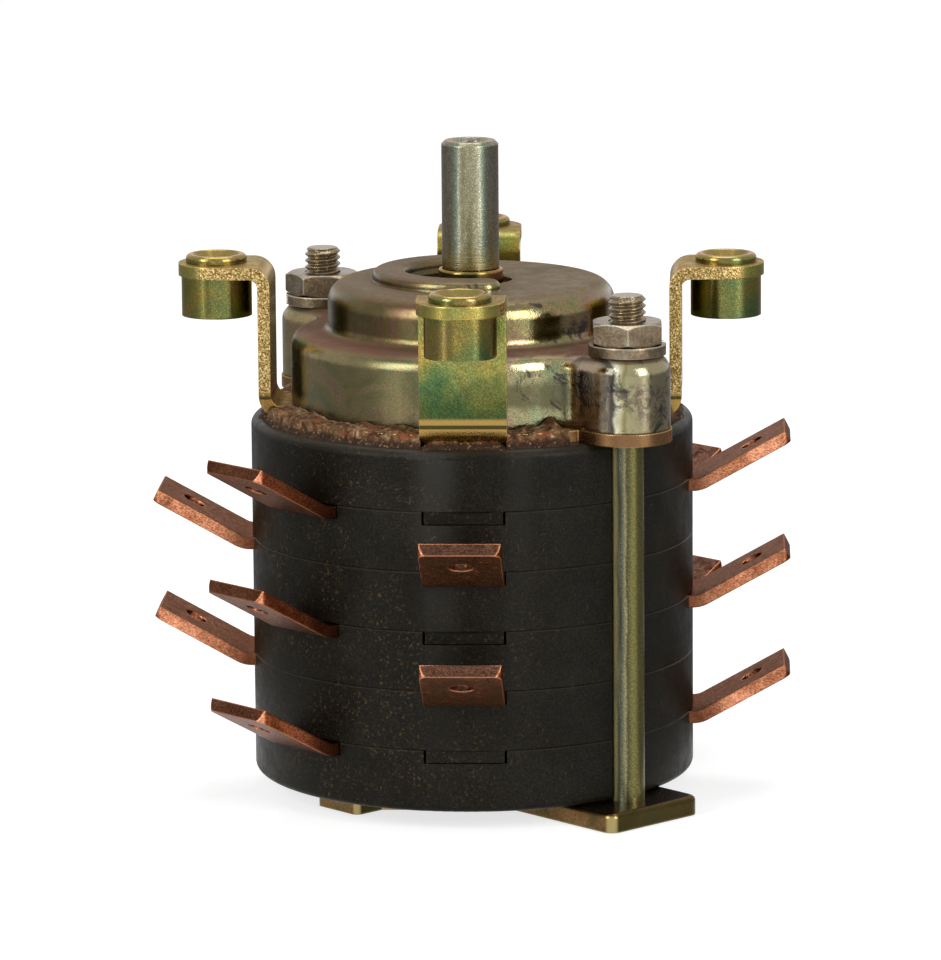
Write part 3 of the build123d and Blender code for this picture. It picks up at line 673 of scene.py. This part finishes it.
def shaft_steel(name):
    """Coated turned shaft: painted reflections in pale gold, grey and grey green bands along it, and a
    painted gold reflection of the collar at its foot.
    """
    paint = Paint(name)
    # Painted reflections: bands by which way the surface faces, repeating three times round and wavering
    # along it
    turn = paint.math("ARCTAN2", paint.x, paint.y)
    wave = paint.math("COSINE", paint.times(turn, 3.0))
    streak = paint.noise(0.9, 3.0, 0.6, 0.0, paint.stretched((1.0, 1.0, 0.06)))
    wave = paint.plus(paint.step(wave, -1.2, 1.2), paint.times(streak, 0.5))
    shade = paint.ramp(
        wave,
        (0.30, (0.270, 0.250, 0.160)),
        (0.50, (0.320, 0.310, 0.220)),
        (0.66, (0.155, 0.200, 0.145)),
        (0.88, (0.160, 0.190, 0.138)),
        (1.00, (0.188, 0.178, 0.138)),
    )
    shade = paint.mix(paint.step(paint.normal_z, 0.7, 0.9), shade, (0.110, 0.088, 0.034))
    grain = paint.noise(7.0, 2.0, 0.6)
    shade = paint.with_grain_and_glints(shade, grain, 1.6)
    flecks = paint.noise(2.4, 4.0, 0.7, 0.0, paint.stretched((1.0, 1.0, 0.4)))
    shade = paint.tinted(shade, paint.step(flecks, 0.38, 0.64, 0.92, 1.14))
    # Painted reflection of the collar: gold at the foot
    foot = paint.step(paint.z, *SHAFT_FOOT, 0.0, 0.6)
    shade = paint.mix(foot, shade, (0.400, 0.310, 0.120))
    rings = paint.noise(6.0, 3.0, 0.7, 0.0, paint.stretched((0.05, 0.05, 1.0)))
    # Light edges: partly wear, partly painted highlight
    shade = paint.mix(paint.times(paint.edges(0.2), 0.5), shade, (0.50, 0.46, 0.36))
    paint.bump(paint.plus(rings, grain), 0.025, 0.5, 0.2)
    rough = paint.step(grain, *WIDE, 0.32, 0.15)
    return paint.finish(shade, 1.0, rough, Specular_Tint=(1.0, 0.85, 0.80))


def residue(name):
    """Crumbled brown sealing compound: pale where it dried on the skirt, dark and speckled low down."""
    paint = Paint(name)
    crumbs = paint.noise(1.1, 6.0, 0.75, 0.5)
    shade = paint.ramp(
        crumbs,
        (0.36, (0.012, 0.006, 0.003)),
        (0.46, (0.070, 0.032, 0.012)),
        (0.54, (0.145, 0.075, 0.030)),
        (0.61, (0.260, 0.170, 0.090)),
        (0.69, (0.500, 0.400, 0.280)),
    )
    rust = paint.step(paint.noise(0.5, 4.0, 0.6), 0.50, 0.64)
    shade = paint.mix(paint.times(rust, 0.7), shade, (0.190, 0.048, 0.016))
    dried = paint.step(paint.radial(), *RESIDUE_DRIED)
    dried = paint.times(dried, paint.step(paint.noise(0.8, 4.0, 0.7), 0.40, 0.60, 0.15, 0.8))
    shade = paint.mix(dried, shade, (0.360, 0.290, 0.215))
    low = paint.step(paint.z, *RESIDUE_LOW)
    flecks = paint.step(paint.noise(2.6, 5.0, 0.75), 0.56, 0.68)
    soot = paint.mix(flecks, (0.016, 0.008, 0.004), (0.420, 0.230, 0.110))
    shade = paint.mix(paint.times(low, 0.9), shade, soot)
    paint.bump(crumbs, 0.18, 0.8)
    return paint.finish(shade, 0.0, 0.7, Specular_IOR_Level=0.15)


def make_mesh(name, points, faces, material, smooth=True):
    """New object with one material, from points in metres."""
    data = bpy.data.meshes.new(name)
    data.from_pydata(points, [], faces)
    data.update()
    if smooth:
        data.polygons.foreach_set("use_smooth", [True] * len(data.polygons))
    data.materials.append(material)
    made = bpy.data.objects.new(name, data)
    bpy.context.scene.collection.objects.link(made)
    return made


def metres(x, y, z):
    return x / MM, y / MM, z / MM


def unit(value):
    """Value kept between 0 and 1."""
    return min(1.0, max(0.0, value))


TOOTH_SLOPE = 2.4
TOOTH_ROOT = 0.1
THREAD_CHAMFER = 0.42
THREAD_CLEAR = 0.02
THREAD_RUN_IN = 0.3
PLAIN_RINGS = [0.0, 0.15, 14.0, 28.0, THREAD_LOW - THREAD_RUN_IN]
RINGS_PER_PITCH = 14
ROD_SEGMENTS = 48


def thread_radius(height, turn):
    """Radius of the threaded end at a height and a share of a turn."""
    phase = (height / THREAD_PITCH - turn) % 1.0
    tooth = unit(TOOTH_SLOPE * abs(phase - 0.5) - TOOTH_ROOT)
    rise = unit((height - THREAD_LOW) / THREAD_PITCH)
    radius = THREAD_ROOT + (THREAD_CREST - THREAD_ROOT) * tooth
    radius = ROD_RADIUS + (radius - ROD_RADIUS) * rise
    chamfer = max(0.0, height - (ROD_TOP - THREAD_CHAMFER))
    return min(radius, THREAD_CREST + THREAD_CLEAR - chamfer)


def threaded_rod(name, node, azimuth, material):
    """The tie rod with a true helical thread on its upper end."""
    count = int((ROD_TOP - THREAD_LOW) / THREAD_PITCH * RINGS_PER_PITCH)
    threaded = [THREAD_LOW + (ROD_TOP - THREAD_LOW) * step / count for step in range(count + 1)]
    heights = PLAIN_RINGS + threaded
    x, y = on_circle(ROD_PITCH_RADIUS, azimuth)
    points = []
    for height in heights:
        for segment in range(ROD_SEGMENTS):
            share = segment / ROD_SEGMENTS
            radius = ROD_RADIUS if height < THREAD_LOW else thread_radius(height, share)
            angle = 2 * math.pi * share
            points.append(metres(x + radius * math.cos(angle), y + radius * math.sin(angle), height))
    faces = []
    for ring in range(len(heights) - 1):
        for segment in range(ROD_SEGMENTS):
            after = (segment + 1) % ROD_SEGMENTS
            low, high = ring * ROD_SEGMENTS, (ring + 1) * ROD_SEGMENTS
            faces.append((low + segment, low + after, high + after, high + segment))
    faces.append(tuple(reversed(range(ROD_SEGMENTS))))
    faces.append(tuple(range(len(points) - ROD_SEGMENTS, len(points))))
    made = make_mesh(name, points, faces, material)
    for end in (len(faces) - 1, len(faces) - 2):
        made.data.polygons[end].use_smooth = False
    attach(made, "switch_body")
    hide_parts(node)


# Arcs of crust between the arms and the ears, in degrees from the front towards the right
RESIDUE_ARCS = [(-76, -11.5), (11.5, 29.5), (60.5, 78), (102, 168), (192, 209.5), (240.5, 258)]
RESIDUE_STEP = 0.5
RESIDUE_FADE = 3.0
RESIDUE_FADE_LEAST = 0.25
# Lumps on the crust: azimuth and width in degrees, height in millimetres
LUMPS = [
    (27, 2.6, 0.95),
    (19, 3.0, 0.35),
    (-20, 5.0, 0.35),
    (-33, 3.0, 0.35),
    (-56, 4.0, 0.35),
    (-66, 5.0, 0.45),
    (120, 5.0, 0.5),
    (148, 4.0, 0.4),
    (248, 4.0, 0.5),
]
# Crumbling of the crusts: layers of noise, each with a height in millimetres and a fineness
RESIDUE_CRUMBS = [(0.20, 1.3), (0.12, 3.1), (0.07, 7.0)]
ARM_CRUMBS = [(0.16, 1.1), (0.09, 3.3)]
# Section of the crust under an arm: radius, and rise above the stack, in millimetres
ARM_CRUST_SECTION = [
    (20.9, 0.62),
    (21.4, 0.75),
    (21.7, 0.6),
    (21.95, 0.36),
    (22.15, 0.14),
    (22.3, -0.06),
    (22.35, -0.3),
]
ARM_CRUST_COLUMNS = 40
ARM_CRUST_HALF_WIDTH = 5.0
ARM_CRUST_FADE = 1.5
ARM_CRUST_SINK = 0.3


def crumble(seed, layers):
    return sum(height * noise.noise(seed * fineness) for height, fineness in layers)


def grid_faces(columns, rows):
    """Faces between points that were listed column by column."""
    faces = []
    for column in range(columns):
        for row in range(rows - 1):
            first = column * rows + row
            faces.append((first, first + rows, first + rows + 1, first + 1))
    return faces


def residue_height(azimuth):
    """Height of the crust against the skirt, before its crumbling."""
    swell = 0.16 + 0.25 * noise.noise(Vector((azimuth * 0.11, 3.7, 0.0)))
    for middle, width, height in LUMPS:
        swell += height * math.exp(-(((azimuth - middle) / width) ** 2))
    return max(0.12, swell)


def residue_section(azimuth, fade):
    """Section of the crust, from the skirt over the plate's rim to the stack: radii and heights."""
    top = residue_height(azimuth) * fade
    reach = PLATE_RADIUS + 0.75 + 0.35 * noise.noise(Vector((azimuth * 0.3, 0.0, 9.1)))
    return [
        (SKIRT_RADIUS - 0.15, PLATE_TOP - 0.1),
        (SKIRT_RADIUS + 0.05, PLATE_TOP + 0.7 * top),
        (SKIRT_RADIUS + 0.35, PLATE_TOP + top),
        (SKIRT_RADIUS + 0.75, PLATE_TOP + 0.92 * top),
        (SKIRT_RADIUS + 1.2, PLATE_TOP + 0.75 * top),
        (SKIRT_RADIUS + 1.7, PLATE_TOP + 0.55 * top),
        (SKIRT_RADIUS + 2.1, PLATE_TOP + 0.42 * top),
        (PLATE_RADIUS + 0.02, PLATE_TOP + 0.25 * top),
        (PLATE_RADIUS + 0.18, PLATE_TOP - 0.15),
        (PLATE_RADIUS + 0.25, PLATE_TOP - 0.5),
        (PLATE_RADIUS + 0.35, PLATE_TOP - 0.85),
        (reach - 0.2, STACK_TOP + 0.22),
        (reach, STACK_TOP + 0.03),
        (reach, STACK_TOP - 0.25),
    ]


def residue_arc(name, start, end, material):
    """Crust of old sealing compound on the mounting plate, outside the cover's skirt."""
    columns = int((end - start) / RESIDUE_STEP)
    points = []
    for column in range(columns + 1):
        azimuth = start + (end - start) * column / columns
        from_start = (azimuth - start) / RESIDUE_FADE + RESIDUE_FADE_LEAST
        from_end = (end - azimuth) / RESIDUE_FADE + RESIDUE_FADE_LEAST
        section = residue_section(azimuth, min(1.0, from_start, from_end))
        for row, (radius, height) in enumerate(section):
            crumb = 0.0
            if 0 < row < len(section) - 1:
                x, y = on_circle(radius, azimuth)
                crumb = crumble(Vector((x, y, height)), RESIDUE_CRUMBS)
            x, y = on_circle(radius + 0.6 * crumb, azimuth)
            points.append(metres(x, y, height + crumb))
    faces = grid_faces(columns, len(section))
    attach(make_mesh(name, points, faces, material), "switch_body")


def arm_crust(name, azimuth, material):
    """The same compound pressed out under the bend of an arm."""
    a = math.radians(azimuth)
    rows = len(ARM_CRUST_SECTION)
    points = []
    for column in range(ARM_CRUST_COLUMNS + 1):
        side = ARM_CRUST_HALF_WIDTH * (2 * column / ARM_CRUST_COLUMNS - 1)
        fade = min(1.0, (ARM_CRUST_HALF_WIDTH - abs(side)) / ARM_CRUST_FADE)
        for row, (radius, rise) in enumerate(ARM_CRUST_SECTION):
            crumb = 0.0
            if 0 < row < rows - 1:
                crumb = crumble(Vector((side, radius, azimuth)), ARM_CRUMBS)
            rise = -ARM_CRUST_SINK + fade * (rise + crumb + ARM_CRUST_SINK)
            out = radius + crumb
            x = out * math.sin(a) + side * math.cos(a)
            y = -out * math.cos(a) + side * math.sin(a)
            points.append(metres(x, y, STACK_TOP + rise))
    faces = grid_faces(ARM_CRUST_COLUMNS, rows)
    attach(make_mesh(name, points, faces, material), "switch_body")


def dress_nodes():
    """Give each node of the frame the finish of its slot, and return the finishes by slot."""
    finishes = {
        "plate_zinc": plate_zinc("plate_zinc"),
        "bracket_zinc": zinc_sheet("bracket_zinc"),
        "cover_zinc": cover_zinc("cover_zinc"),
        "rod_zinc": zinc_rod("rod_zinc"),
        "bush_zinc": zinc_turned("bush_zinc", (1.0, 0.9, 0.8), 0.06),
        "shaft_steel": shaft_steel("shaft_steel"),
        "fastener_steel": fastener_steel("fastener_steel"),
        "index_steel": plain_steel("index_steel", (0.42, 0.42, 0.41)),
        "spring_steel": plain_steel("spring_steel", (0.20, 0.21, 0.25)),
        "copper": copper("copper"),
        "deck_phenolic": deck_phenolic("deck_phenolic"),
        "rotor_phenolic": rotor_phenolic("rotor_phenolic"),
    }
    turned = zinc_turned("bracket_bush_zinc", (0.95, 1.05, 1.0), 0.02)
    for part in frame["record"]["subparts"]:
        name = part["node"]
        material = turned if name.startswith("mounting_bush") else finishes[part["material_slot"]]
        target = nodes[name].data
        target.materials.clear()
        target.materials.append(material)
    return finishes


# Stage, in metres
WORLD_DIFFUSE = 0.4
WORLD_SEEN = 1.0
FLOOR_HALF = 6.0
FLOOR_LEVEL = -0.0001
FLOOR_GLOW = 0.72
CARD_LEVEL = 0.0005
CARD_STEPS = 24
STRIP_LEVEL = 0.002
LAMP_AIM = Vector((0, 0, 0.035))
LAMP_DISTANCE = 0.9
# Cards on the floor: start and end in degrees, near and far radius, grey
CARDS = {
    "front_card": (-20, 60, 0.246, 0.264, 0.06),
    "front_left_card": (-64, -20, 0.2, 2.5, 0.4),
    "left_card": (-180, -64, 0.05, 2.5, 0.30),
    "right_card": (60, 180, 0.034, 2.5, 0.25),
}
# Strips of light: azimuth in degrees, distance, width, length, power in watts
STRIPS = {
    "left_strip": (-46, 0.28, 0.03, 0.2, 0.05),
    "right_strip": (47, 0.30, 0.05, 0.1, 0.04),
}
# Softboxes: azimuth and elevation in degrees, width, height, power in watts
SOFTBOXES = {
    "left_softbox": (-48, 24, 0.35, 0.6, 5.0),
    "right_softbox": (44, 22, 0.35, 0.6, 5.0),
    "top_softbox": (180, 72, 0.6, 0.5, 4.0),
}


def light_path_share(tree):
    """1 for rays from the camera, from a glossy surface or through glass."""
    path = tree.nodes.new("ShaderNodeLightPath")
    share = path.outputs["Is Camera Ray"]
    for name in ("Is Glossy Ray", "Is Transmission Ray"):
        most = tree.nodes.new("ShaderNodeMath")
        most.operation = "MAXIMUM"
        tree.links.new(share, most.inputs[0])
        tree.links.new(path.outputs[name], most.inputs[1])
        share = most.outputs[0]
    return share


def make_world():
    """White surround that lights the part less than it shows."""
    world = bpy.data.worlds.new("studio")
    bpy.context.scene.world = world
    world.use_nodes = True
    tree = world.node_tree
    background = tree.nodes["Background"]
    background.inputs["Color"].default_value = (1, 1, 1, 1)
    strength = tree.nodes.new("ShaderNodeMapRange")
    tree.links.new(light_path_share(tree), strength.inputs["Value"])
    strength.inputs["To Min"].default_value = WORLD_DIFFUSE
    strength.inputs["To Max"].default_value = WORLD_SEEN
    tree.links.new(strength.outputs[0], background.inputs["Strength"])


def make_floor():
    """Pale floor, white to the eye where no shadow falls."""
    material = bpy.data.materials.new("pale_floor")
    material.use_nodes = True
    tree = material.node_tree
    output = tree.nodes["Material Output"]
    plain = tree.nodes["Principled BSDF"]
    plain.inputs["Base Color"].default_value = (0.8, 0.8, 0.8, 1)
    plain.inputs["Roughness"].default_value = 0.9
    shadowed = tree.nodes.new("ShaderNodeBsdfDiffuse")
    shadowed.inputs["Color"].default_value = (0.4, 0.4, 0.4, 1)
    glow = tree.nodes.new("ShaderNodeEmission")
    glow.inputs["Strength"].default_value = FLOOR_GLOW
    both = tree.nodes.new("ShaderNodeAddShader")
    tree.links.new(shadowed.outputs[0], both.inputs[0])
    tree.links.new(glow.outputs[0], both.inputs[1])
    mixed = tree.nodes.new("ShaderNodeMixShader")
    tree.links.new(light_path_share(tree), mixed.inputs[0])
    tree.links.new(plain.outputs[0], mixed.inputs[1])
    tree.links.new(both.outputs[0], mixed.inputs[2])
    tree.links.new(mixed.outputs[0], output.inputs["Surface"])
    square = [(-1, -1), (1, -1), (1, 1), (-1, 1)]
    corners = [(x * FLOOR_HALF, y * FLOOR_HALF, FLOOR_LEVEL) for x, y in square]
    make_mesh("floor", corners, [(0, 1, 2, 3)], material, False)


def make_card(name, start, end, near, far, grey):
    """Grey card lying on the floor, part of a ring, that only reflections show."""
    material = bpy.data.materials.new(name)
    material.use_nodes = True
    shader = material.node_tree.nodes["Principled BSDF"]
    shader.inputs["Base Color"].default_value = (grey, grey, grey, 1)
    shader.inputs["Roughness"].default_value = 1.0
    turns = [start + (end - start) * step / CARD_STEPS for step in range(CARD_STEPS + 1)]
    ring = [on_circle(near, turn) for turn in turns] + [on_circle(far, turn) for turn in reversed(turns)]
    corners = [(x, y, CARD_LEVEL) for x, y in ring]
    card = make_mesh(name, corners, [tuple(range(len(corners)))], material, False)
    card.visible_camera = False
    card.visible_shadow = False
    card.visible_diffuse = False


def area_light(name, width, height, power):
    """Rectangle of light that the camera does not see."""
    data = bpy.data.lights.new(name, "AREA")
    data.shape = "RECTANGLE"
    data.size = width
    data.size_y = height
    data.energy = power
    lamp = bpy.data.objects.new(name, data)
    lamp.visible_camera = False
    bpy.context.scene.collection.objects.link(lamp)
    return lamp


def make_strip(name, azimuth, distance, width, length, power):
    """Low strip of light lying on the floor, for the upright metal to reflect."""
    lamp = area_light(name, width, length, power)
    lamp.location = (*on_circle(distance, azimuth), STRIP_LEVEL)
    lamp.rotation_euler = (math.pi, 0, math.radians(azimuth))


def make_softbox(name, azimuth, elevation, width, height, power):
    """Large soft light aimed at the part."""
    lamp = area_light(name, width, height, power)
    back = direction(azimuth, elevation)
    lamp.location = LAMP_AIM + back * LAMP_DISTANCE
    lamp.rotation_euler = (-back).to_track_quat("-Z", "Y").to_euler()


make_camera()
bpy.context.scene.view_settings.view_transform = "Standard"
finishes = dress_nodes()
threaded_rod("tie_rod_front_threaded", "tie_rod_front", 45, finishes["rod_zinc"])
threaded_rod("tie_rod_rear_threaded", "tie_rod_rear", 225, finishes["rod_zinc"])
crust = residue("sealing_residue")
for index, (start, end) in enumerate(RESIDUE_ARCS):
    residue_arc(f"sealing_residue_{index + 1}", start, end, crust)
for side, azimuth in (("front", 0), ("right", 90), ("rear", 180), ("left", 270)):
    arm_crust(f"arm_residue_{side}", azimuth, crust)
make_world()
make_floor()
for name, settings in CARDS.items():
    make_card(name, *settings)
for name, settings in STRIPS.items():
    make_strip(name, *settings)
for name, settings in SOFTBOXES.items():
    make_softbox(name, *settings)
